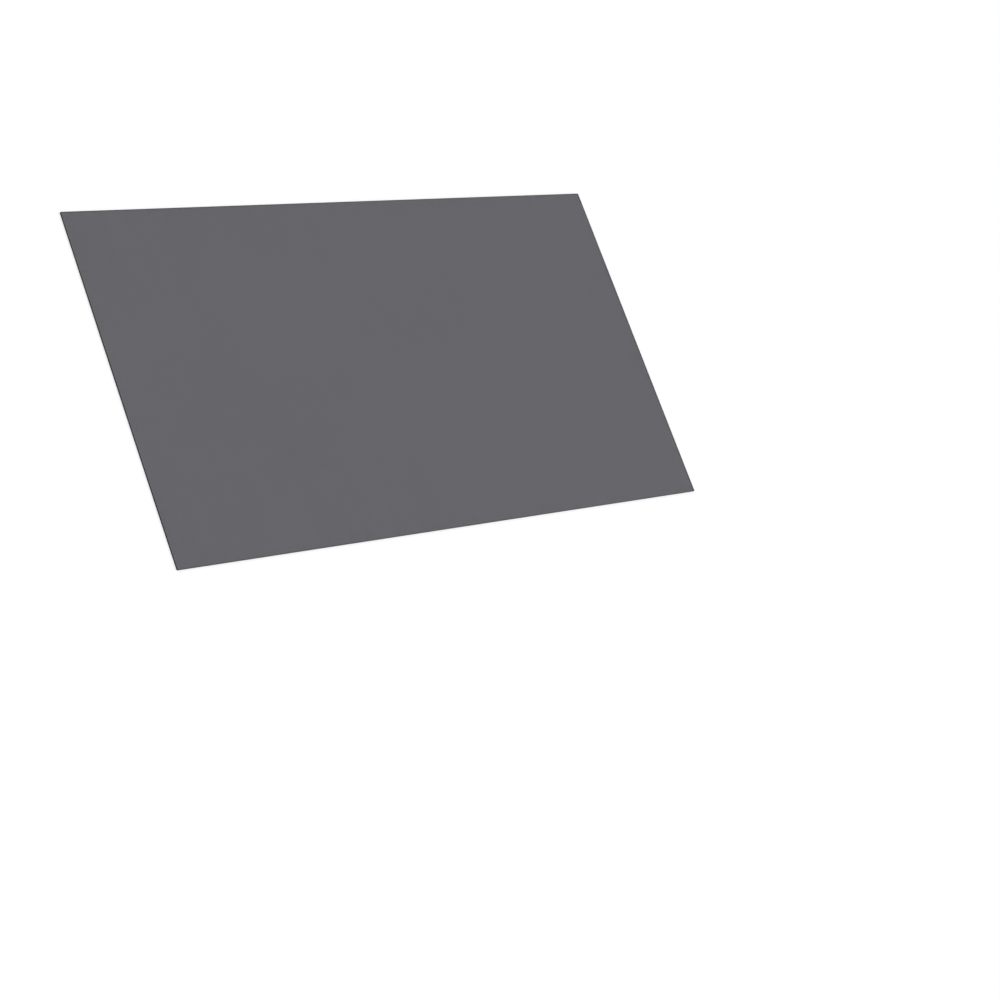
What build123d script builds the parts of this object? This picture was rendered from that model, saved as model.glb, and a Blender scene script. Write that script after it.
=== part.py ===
# Privacy filter: one flat sheet of dark see-through louvre film, in millimetres.
# The sheet lies on its back face. The origin is the middle of that face, X runs along the
# width, Y along the height and Z out of the front face.
import os

from build123d import *

# Driving dimensions
sheet_width = 344.0  # long side of the cut outline
sheet_height = 193.5  # short side of the cut outline, 16:9 with the long one
sheet_thickness = 0.8  # whole laminate, face to face
corner_radius = 0.5  # plan radius left by the cutting die at each corner
front_edge_round = 0.12  # roll-over of the front edge, where the die enters the film
back_edge_break = 0.05  # small bevel of the back edge, where the die comes out


def cut_blank():
    """The die-cut outline, raised to the full thickness of the laminate."""
    outline = RectangleRounded(sheet_width, sheet_height, corner_radius)
    return extrude(outline, amount=sheet_thickness)


def finish_edges(blank):
    """Rolls the front edge over and breaks the back edge, all the way round the outline."""
    back_outline = blank.faces().sort_by(Axis.Z)[0].edges()
    bevelled = chamfer(back_outline, back_edge_break)
    front_outline = bevelled.faces().sort_by(Axis.Z)[-1].edges()
    return fillet(front_outline, front_edge_round)


filter_sheet = finish_edges(cut_blank())

os.makedirs("parts", exist_ok=True)
export_step(filter_sheet, "parts/filter_sheet.step")
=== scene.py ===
"""Privacy filter: one sheet of dark see-through louvre film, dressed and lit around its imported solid.

Lengths are metres in the part's own frame. X runs along the sheet's width, Y along its height and
Z out of its front face. The sheet lies on its back face, and its louvres run along Y.
"""

import logging
import math
from abc import ABC, abstractmethod
from dataclasses import dataclass
from enum import Enum
from typing import Self

import bmesh
import bpy
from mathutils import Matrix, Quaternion, Vector


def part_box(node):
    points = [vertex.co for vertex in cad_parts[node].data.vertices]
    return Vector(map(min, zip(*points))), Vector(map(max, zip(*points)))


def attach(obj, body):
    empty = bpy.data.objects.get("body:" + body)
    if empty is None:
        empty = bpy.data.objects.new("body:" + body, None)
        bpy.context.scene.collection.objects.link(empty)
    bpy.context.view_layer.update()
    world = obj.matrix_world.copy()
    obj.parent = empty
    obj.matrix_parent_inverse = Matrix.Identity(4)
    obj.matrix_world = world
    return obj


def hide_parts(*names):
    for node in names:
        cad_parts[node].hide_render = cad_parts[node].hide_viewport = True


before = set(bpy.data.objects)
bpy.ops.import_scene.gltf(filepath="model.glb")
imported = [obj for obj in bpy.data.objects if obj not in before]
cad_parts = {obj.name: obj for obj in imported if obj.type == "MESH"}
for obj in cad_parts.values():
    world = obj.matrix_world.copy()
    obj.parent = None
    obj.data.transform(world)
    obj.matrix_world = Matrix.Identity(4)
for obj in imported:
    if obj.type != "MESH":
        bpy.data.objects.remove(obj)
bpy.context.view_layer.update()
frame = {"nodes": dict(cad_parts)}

log = logging.getLogger("privacy_filter")

Colour = tuple[float, float, float]
Rgba = tuple[float, float, float, float]
Place = tuple[float, float, float]
Span = tuple[float, float]
Ring = list[bmesh.types.BMVert]
Socket = bpy.types.NodeSocket
Feed = Socket | float | tuple[float, ...]

# Units and directions
MILLIMETRE = 0.001
MICRON = 0.000001
QUARTER_TURN = math.pi / 2
CORNER_SIDES = ((1, 1), (-1, 1), (-1, -1), (1, -1))  # counter-clockwise from above
LENS_AXIS = (0.0, 0.0, 1.0)  # what the camera is rolled about, in its own frame

# Levels
UNIT_SPAN = (0.0, 1.0)
NOISE_SPAN = (0.3, 0.7)  # where most of a noise lies
WHITE = (1.0, 1.0, 1.0, 1.0)
WHITE_LEVEL = 1.0  # strength at which white light shows as plain white

# The film's own pattern
LOUVRE_PITCH = 0.1 * MILLIMETRE
ANY_DEPTH = 1.0  # patch along Z that leaves a pattern the same through the thickness

# Names in the frame
SHEET_NODE = "filter_sheet"
SHEET_BODY = "root"


class SheetFace(Enum):
    """The surfaces of the sheet, in the order of its material slots."""

    FRONT = 0
    BACK = 1
    SIDE_EDGE = 2
    END_EDGE = 3


@dataclass(frozen=True)
class Mottle:
    """An uneven tone: the size of its patches, its finer layers and how far it departs from the mean."""

    patch: Place
    layers: float
    contrast: float


@dataclass(frozen=True)
class Grain(Mottle):
    """An uneven skin: a mottle whose light spots also stand up from the surface by a small depth."""

    depth: float


@dataclass(frozen=True)
class Roughness:
    """The range of a surface's roughness, from its smoothest to its roughest spots."""

    smoothest: float
    roughest: float


class NodeBench:
    """Lays out and joins the nodes of one material or world."""

    def __init__(self, owner: bpy.types.Material | bpy.types.World) -> None:
        """Takes over the nodes of a material or world and empties them.

        Args:
            owner: the material or world.
        """
        owner.use_nodes = True
        self.tree = owner.node_tree
        self.tree.nodes.clear()

    def add(self, kind: str, feeds: dict[str | int, Feed], **settings: str) -> bpy.types.Node:
        """Adds one node.

        Args:
            kind: the type of the node.
            feeds: what goes into each input, as a socket to link or a plain value.
            settings: the node's own options.

        Returns:
            The new node.
        """
        node = self.tree.nodes.new(kind)
        for option, choice in settings.items():
            setattr(node, option, choice)
        for name, feed in feeds.items():
            if isinstance(feed, Socket):
                self.tree.links.new(feed, node.inputs[name])
            else:
                node.inputs[name].default_value = feed
        return node

    def reckon(self, operation: str, *numbers: Feed) -> Socket:
        """Returns the result of one operation on a few numbers."""
        return self.add("ShaderNodeMath", dict(enumerate(numbers)), operation=operation).outputs[0]

    def spread(self, number: Feed, span: Span, result: Span) -> Socket:
        """Returns a number that is stretched from one span onto another and clamped there."""
        ends = {"From Min": span[0], "From Max": span[1], "To Min": result[0], "To Max": result[1]}
        return self.add("ShaderNodeMapRange", {"Value": number, **ends}).outputs["Result"]

    def place(self) -> Socket:
        """Returns the surface point in the part's own frame, in metres."""
        return self.add("ShaderNodeTexCoord", {}).outputs["Object"]

    def noise(self, pattern: Mottle) -> Socket:
        """Lays a noise with the patches of a pattern.

        Args:
            pattern: the size of the patches and the number of finer layers.

        Returns:
            The noise, mostly within NOISE_SPAN.
        """
        scaled = self.add("ShaderNodeVectorMath", {0: self.place(), 1: pattern.patch}, operation="DIVIDE")
        feeds = {"Vector": scaled.outputs[0], "Scale": 1.0, "Detail": pattern.layers}
        return self.add("ShaderNodeTexNoise", feeds).outputs["Fac"]

    def wander(self, noise: Socket, contrast: float) -> Socket:
        """Returns a factor that follows a noise, from 1 less the contrast to 1 plus it."""
        return self.spread(noise, NOISE_SPAN, (1.0 - contrast, 1.0 + contrast))

    def mottle(self, pattern: Mottle) -> Socket:
        """Returns a factor near 1 that wanders by the pattern's contrast."""
        return self.wander(self.noise(pattern), pattern.contrast)

    def louvres(self, contrast: float) -> Socket:
        """Lays the louvres as fine even stripes across the width.

        Args:
            contrast: how far the stripes depart from the mean.

        Returns:
            A factor near 1.
        """
        across = self.add("ShaderNodeSeparateXYZ", {0: self.place()}).outputs["X"]
        wave = self.reckon("SINE", self.reckon("MULTIPLY", across, math.tau / LOUVRE_PITCH))
        return self.reckon("MULTIPLY_ADD", wave, contrast, 1.0)

    def tint(self, colour: Colour, *factors: Socket) -> Feed:
        """Shades a colour by several factors.

        Args:
            colour: the mean colour.
            factors: what it is multiplied by.

        Returns:
            The shaded colour.
        """
        shaded = colour
        for factor in factors:
            step = self.add("ShaderNodeVectorMath", {0: shaded, "Scale": factor}, operation="SCALE")
            shaded = step.outputs[0]
        return shaded

    def rough(self, noise: Socket, roughness: Roughness) -> Socket:
        """Returns a roughness that follows a noise."""
        return self.spread(noise, NOISE_SPAN, (roughness.smoothest, roughness.roughest))

    def raised(self, noise: Socket, depth: float) -> Socket:
        """Returns the normal of a surface on which a noise of 1 stands above 0 by a depth."""
        feeds = {"Height": noise, "Strength": 1.0, "Distance": depth}
        return self.add("ShaderNodeBump", feeds).outputs["Normal"]

    def shown_ray(self) -> Socket:
        """Tells the rays that show a surface from those that only carry its light.

        Returns:
            1 for what is seen directly, mirrored or through glass, and 0 for the rest.
        """
        path = self.add("ShaderNodeLightPath", {}).outputs
        seen = self.reckon("MAXIMUM", path["Is Camera Ray"], path["Is Glossy Ray"])
        return self.reckon("MAXIMUM", seen, path["Is Transmission Ray"])

    def surface(self, shader: bpy.types.Node) -> None:
        """Makes a shader the surface of the material."""
        self.add("ShaderNodeOutputMaterial", {"Surface": shader.outputs[0]})


@dataclass(frozen=True)
class Finish(ABC):
    """A finish of one surface, which becomes a material."""

    name: str

    @abstractmethod
    def shader(self, bench: NodeBench) -> bpy.types.Node:
        """Returns the shader of this finish, laid on a bench with all that feeds it."""

    def material(self) -> bpy.types.Material:
        """Makes the material of this finish.

        Returns:
            The new material.
        """
        made = bpy.data.materials.new(self.name)
        bench = NodeBench(made)
        bench.surface(self.shader(bench))
        return made


@dataclass(frozen=True)
class FilmSkin(Finish):
    """Finish of one face of the film: dark, see-through and lined by the louvres, with a low-glare grain.

    The opacity is that of one face. What is seen through the sheet is seen through two of them.
    """

    roughness: Roughness
    grain: Grain
    colour: Colour = (0.073, 0.0695, 0.087)
    opacity: float = 0.64
    specular_level: float = 0.3
    louvre_contrast: float = 0.3
    streaks: Mottle = Mottle(
        patch=(2.4 * MILLIMETRE, 160.0 * MILLIMETRE, ANY_DEPTH),
        layers=2.0,
        contrast=0.05,
    )
    clouds: Mottle = Mottle(
        patch=(70.0 * MILLIMETRE, 70.0 * MILLIMETRE, ANY_DEPTH),
        layers=3.0,
        contrast=0.03,
    )

    def shader(self, bench: NodeBench) -> bpy.types.Node:
        """Lays the film's louvres, grain, streaks and clouds.

        Args:
            bench: where the nodes go.

        Returns:
            The film's shader.
        """
        grain = bench.noise(self.grain)
        tone = bench.tint(
            self.colour,
            bench.louvres(self.louvre_contrast),
            bench.wander(grain, self.grain.contrast),
            bench.mottle(self.streaks),
            bench.mottle(self.clouds),
        )
        return bench.add(
            "ShaderNodeBsdfPrincipled",
            {
                "Base Color": tone,
                "Roughness": bench.rough(grain, self.roughness),
                "Specular IOR Level": self.specular_level,
                "Alpha": self.opacity,
                "Normal": bench.raised(grain, self.grain.depth),
            },
        )


@dataclass(frozen=True)
class CutEdge(Finish):
    """Finish of the die-cut edge: scored by the die, with the louvres' ends where it runs across them."""

    colour: Colour
    louvre_contrast: float = 0.0
    roughness: Roughness = Roughness(smoothest=0.6, roughest=0.85)
    specular_level: float = 0.1
    scores: Grain = Grain(
        patch=(0.22 * MILLIMETRE, 0.22 * MILLIMETRE, 2.0 * MILLIMETRE),
        layers=2.0,
        contrast=0.35,
        depth=8.0 * MICRON,
    )

    def shader(self, bench: NodeBench) -> bpy.types.Node:
        """Lays the edge's scores and louvre ends.

        Args:
            bench: where the nodes go.

        Returns:
            The edge's shader.
        """
        scores = bench.noise(self.scores)
        louvres = bench.louvres(self.louvre_contrast)
        return bench.add(
            "ShaderNodeBsdfPrincipled",
            {
                "Base Color": bench.tint(self.colour, louvres, bench.wander(scores, self.scores.contrast)),
                "Roughness": bench.rough(scores, self.roughness),
                "Specular IOR Level": self.specular_level,
                "Normal": bench.raised(scores, self.scores.depth),
            },
        )


@dataclass(frozen=True)
class FloorPaint(Finish):
    """White floor: matt paint near the sheet, where it takes the shadow, fading to plain white far out."""

    name: str = "white_floor"
    paint: Rgba = (0.97, 0.97, 0.97, 1.0)
    white_near: float = 0.35
    white_far: float = 1.0
    fade: Span = (0.22, 0.5)

    def shader(self, bench: NodeBench) -> bpy.types.Node:
        """Mixes matt paint and plain white by the distance from the middle of the sheet.

        Args:
            bench: where the nodes go.

        Returns:
            The floor's shader.
        """
        paint = bench.add("ShaderNodeBsdfDiffuse", {"Color": self.paint})
        white = bench.add("ShaderNodeEmission", {"Color": WHITE, "Strength": WHITE_LEVEL})
        reach = bench.add("ShaderNodeVectorMath", {0: bench.place()}, operation="LENGTH").outputs["Value"]
        whiteness = bench.spread(reach, self.fade, (self.white_near, self.white_far))
        share = bench.reckon("MULTIPLY", bench.shown_ray(), whiteness)
        return bench.add("ShaderNodeMixShader", {0: share, 1: paint.outputs[0], 2: white.outputs[0]})


def put_in_scene(name: str, data: bpy.types.ID) -> bpy.types.Object:
    """Makes an object and links it to the scene.

    Args:
        name: the object's name.
        data: its mesh, lamp or camera.

    Returns:
        The new object.
    """
    made = bpy.data.objects.new(name, data)
    bpy.context.scene.collection.objects.link(made)
    return made


def facing(place: Place, aim: Place) -> Quaternion:
    """Returns the turn that points a lamp or a camera from its place to its aim."""
    return (Vector(aim) - Vector(place)).to_track_quat("-Z", "Y")


@dataclass
class FilterSheet:
    """The film sheet: a rounded rectangle with a rolled-over front edge and a bevelled back edge."""

    low: Vector
    high: Vector
    name: str = "privacy_film"
    corner_radius: float = 0.5 * MILLIMETRE
    front_edge_round: float = 0.12 * MILLIMETRE
    back_edge_break: float = 0.05 * MILLIMETRE
    corner_steps: int = 8
    round_steps: int = 6

    @classmethod
    def from_node(cls, node: str) -> Self:
        """Takes the sheet's overall size and place from a solid of the frame."""
        low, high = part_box(node)
        return cls(low, high)

    def bevel(self) -> list[Span]:
        """Returns the section of the back edge, as insets from the outline and heights, going up."""
        return [(self.back_edge_break, self.low.z), (0.0, self.low.z + self.back_edge_break)]

    def roll_over(self) -> list[Span]:
        """Works out the section of the rolled-over front edge.

        Returns:
            Pairs of the inset from the outline and the height, up to the front face.
        """
        wall_top = self.high.z - self.front_edge_round
        lines = []
        for step in range(self.round_steps + 1):
            angle = QUARTER_TURN * step / self.round_steps
            inset = self.front_edge_round * (1.0 - math.cos(angle))
            lines.append((inset, wall_top + self.front_edge_round * math.sin(angle)))
        return lines

    def hubs(self, height: float) -> list[Vector]:
        """Works out the centres of the four corner arcs, counter-clockwise from above.

        Args:
            height: the height at which they lie.

        Returns:
            The four centres, from the corner at +X and +Y on.
        """
        middle = (self.low + self.high) / 2
        reach = (self.high - self.low) / 2
        reach_x = reach.x - self.corner_radius
        reach_y = reach.y - self.corner_radius
        return [
            Vector((middle.x + side_x * reach_x, middle.y + side_y * reach_y, height))
            for side_x, side_y in CORNER_SIDES
        ]

    def outline(self, inset: float, height: float) -> list[Vector]:
        """Works out the outline at one height, counter-clockwise from above.

        Args:
            inset: how far it lies inside the sheet's own outline.
            height: its height.

        Returns:
            The points of the four corner arcs, in order.
        """
        radius = self.corner_radius - inset
        points = []
        for corner, hub in enumerate(self.hubs(height)):
            for step in range(self.corner_steps + 1):
                angle = QUARTER_TURN * (corner + step / self.corner_steps)
                points.append(hub + radius * Vector((math.cos(angle), math.sin(angle), 0.0)))
        return points

    def build(self) -> bpy.types.Object:
        """Sweeps the section round the outline and closes it with the two faces.

        Returns:
            The sheet, linked to the scene.
        """
        work = bmesh.new()
        bevel = self.bevel()
        section = bevel + self.roll_over()
        rings = [[work.verts.new(point) for point in self.outline(*line)] for line in section]
        for lower, upper in zip(rings, rings[1:]):
            self._band(work, lower, upper)
        self._crease(work, rings[len(bevel) - 1])
        self._panel(work, rings[0], SheetFace.BACK)
        self._panel(work, rings[-1], SheetFace.FRONT)
        mesh = bpy.data.meshes.new(self.name)
        work.to_mesh(mesh)
        work.free()
        return put_in_scene(self.name, mesh)

    def _band(self, work: bmesh.types.BMesh, lower: Ring, upper: Ring) -> None:
        """Joins two neighbouring outlines by one band of the cut edge.

        Args:
            work: the mesh in the making.
            lower: the points of the lower outline.
            upper: the points of the upper one.
        """
        for index, start in enumerate(lower):
            after = (index + 1) % len(lower)
            face = work.faces.new((start, lower[after], upper[after], upper[index]))
            run = lower[after].co - start.co
            side = SheetFace.SIDE_EDGE if abs(run.y) > abs(run.x) else SheetFace.END_EDGE
            face.material_index = side.value
            face.smooth = True

    def _crease(self, work: bmesh.types.BMesh, ring: Ring) -> None:
        """Keeps one outline crisp, so that the bevel and the wall shade as two flats."""
        for start, end in zip(ring, ring[1:] + ring[:1]):
            work.edges.get((start, end)).smooth = False

    def _panel(self, work: bmesh.types.BMesh, ring: Ring, side: SheetFace) -> None:
        """Closes one side of the sheet: a middle, a strip along each edge and a fan in each corner.

        Args:
            work: the mesh in the making.
            ring: the points of the outline to close.
            side: the front or the back.
        """
        hubs = [work.verts.new(hub) for hub in self.hubs(ring[0].co.z)]
        arc_points = self.corner_steps + 1
        arcs = [ring[first:first + arc_points] for first in range(0, len(ring), arc_points)]
        patches = [hubs]
        for corner, (hub, arc) in enumerate(zip(hubs, arcs)):
            after = (corner + 1) % len(hubs)
            patches.append([hub, arc[-1], arcs[after][0], hubs[after]])
            patches += [[hub, start, end] for start, end in zip(arc, arc[1:])]
        for patch in patches:
            turned = patch if side is SheetFace.FRONT else patch[::-1]
            work.faces.new(turned).material_index = side.value

    def dress(self, piece: bpy.types.Object, finishes: dict[SheetFace, Finish]) -> None:
        """Gives each surface its finish and ties the sheet to the solid that it stands for.

        Args:
            piece: the built sheet.
            finishes: the finish of each surface.
        """
        for side in SheetFace:
            piece.data.materials.append(finishes[side].material())
        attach(piece, SHEET_BODY)
        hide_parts(SHEET_NODE)


@dataclass(frozen=True)
class SoftBox:
    """One large soft lamp, turned to the middle of the sheet."""

    name: str
    place: Place
    size: float
    power: float
    aim: Place = (0.0, 0.0, 0.0)

    def build(self) -> bpy.types.Object:
        """Hangs the lamp.

        Returns:
            The lamp.
        """
        light = bpy.data.lights.new(self.name, "AREA")
        light.shape = "SQUARE"
        light.size = self.size
        light.energy = self.power
        lamp = put_in_scene(self.name, light)
        lamp.location = self.place
        lamp.rotation_euler = facing(self.place, self.aim).to_euler()
        return lamp


@dataclass(frozen=True)
class Viewpoint:
    """The camera: it looks down on the lying sheet, rolled so that the sheet shows as in the photograph."""

    name: str = "view_camera"
    eye: Place = (-0.72885, -0.38229, 0.88732)
    aim: Place = (0.03304, -0.08511, 0.0)
    roll_degrees: float = 53.765
    lens: float = 81.506
    sensor: float = 36.0

    def build(self) -> bpy.types.Object:
        """Sets the camera up and makes it the scene's own.

        Returns:
            The camera.
        """
        optics = bpy.data.cameras.new(self.name)
        optics.lens = self.lens
        optics.sensor_width = self.sensor
        camera = put_in_scene(self.name, optics)
        roll = Quaternion(LENS_AXIS, math.radians(self.roll_degrees))
        camera.location = self.eye
        camera.rotation_euler = (facing(self.eye, self.aim) @ roll).to_euler()
        bpy.context.scene.camera = camera
        return camera


@dataclass(frozen=True)
class Studio:
    """Floor, sky, lamps and camera round the sheet."""

    floor_name: str = "floor"
    floor_reach: float = 8.0
    floor_gap: float = 0.1 * MILLIMETRE
    floor_paint: FloorPaint = FloorPaint()
    sky_name: str = "studio_sky"
    sky_level: float = 0.78
    viewpoint: Viewpoint = Viewpoint()
    lamps: tuple[SoftBox, ...] = (
        SoftBox("key_softbox", place=(-1.2, -0.35, 2.2), size=1.6, power=16.0),
        SoftBox("fill_softbox", place=(1.2, -1.2, 2.2), size=1.4, power=10.0),
    )

    def build_floor(self) -> bpy.types.Object:
        """Lays the floor just under the sheet, so that their faces don't coincide.

        Returns:
            The floor.
        """
        corners = [
            (side_x * self.floor_reach, side_y * self.floor_reach, -self.floor_gap)
            for side_x, side_y in CORNER_SIDES
        ]
        mesh = bpy.data.meshes.new(self.floor_name)
        mesh.from_pydata(corners, [], [range(len(corners))])
        mesh.materials.append(self.floor_paint.material())
        floor = put_in_scene(self.floor_name, mesh)
        return floor

    def build_sky(self) -> bpy.types.World:
        """Makes the even sky: white to what looks at it, a plain soft level to what it lights.

        Returns:
            The world.
        """
        world = bpy.data.worlds.new(self.sky_name)
        bench = NodeBench(world)
        level = bench.spread(bench.shown_ray(), UNIT_SPAN, (self.sky_level, WHITE_LEVEL))
        sky = bench.add("ShaderNodeBackground", {"Color": WHITE, "Strength": level})
        bench.add("ShaderNodeOutputWorld", {"Surface": sky.outputs[0]})
        bpy.context.scene.world = world
        return world

    def build(self) -> None:
        """Builds the whole studio and reports what it holds."""
        bpy.context.scene.view_settings.view_transform = "Standard"
        made = [self.build_floor(), self.build_sky(), self.viewpoint.build()]
        made += [lamp.build() for lamp in self.lamps]
        for item in made:
            log.info("studio: %s", item.name)


def sheet_finishes() -> dict[SheetFace, Finish]:
    """Picks the finish of each surface of the sheet.

    Returns:
        The finishes by surface.
    """
    matt_grain = Grain(patch=(0.25 * MILLIMETRE,) * 3, layers=2.0, contrast=0.12, depth=20.0 * MICRON)
    satin_grain = Grain(patch=(0.4 * MILLIMETRE,) * 3, layers=2.0, contrast=0.05, depth=5.0 * MICRON)
    return {
        SheetFace.FRONT: FilmSkin("matt_front_film", Roughness(smoothest=0.5, roughest=0.6), matt_grain),
        SheetFace.BACK: FilmSkin("satin_back_film", Roughness(smoothest=0.28, roughest=0.36), satin_grain),
        SheetFace.SIDE_EDGE: CutEdge("louvre_side_black", colour=(0.004, 0.004, 0.0043)),
        SheetFace.END_EDGE: CutEdge("louvre_end_grey", colour=(0.04, 0.04, 0.042), louvre_contrast=0.8),
    }


def main() -> None:
    """Builds the studio and the sheet, and reports each piece."""
    logging.basicConfig(level=logging.INFO, format="%(name)s: %(message)s")
    log.info("frame: %s", ", ".join(frame["nodes"]))
    Studio().build()
    sheet = FilterSheet.from_node(SHEET_NODE)
    piece = sheet.build()
    sheet.dress(piece, sheet_finishes())
    log.info("piece: %s, %d faces", piece.name, len(piece.data.polygons))


if __name__ == "__main__":
    main()
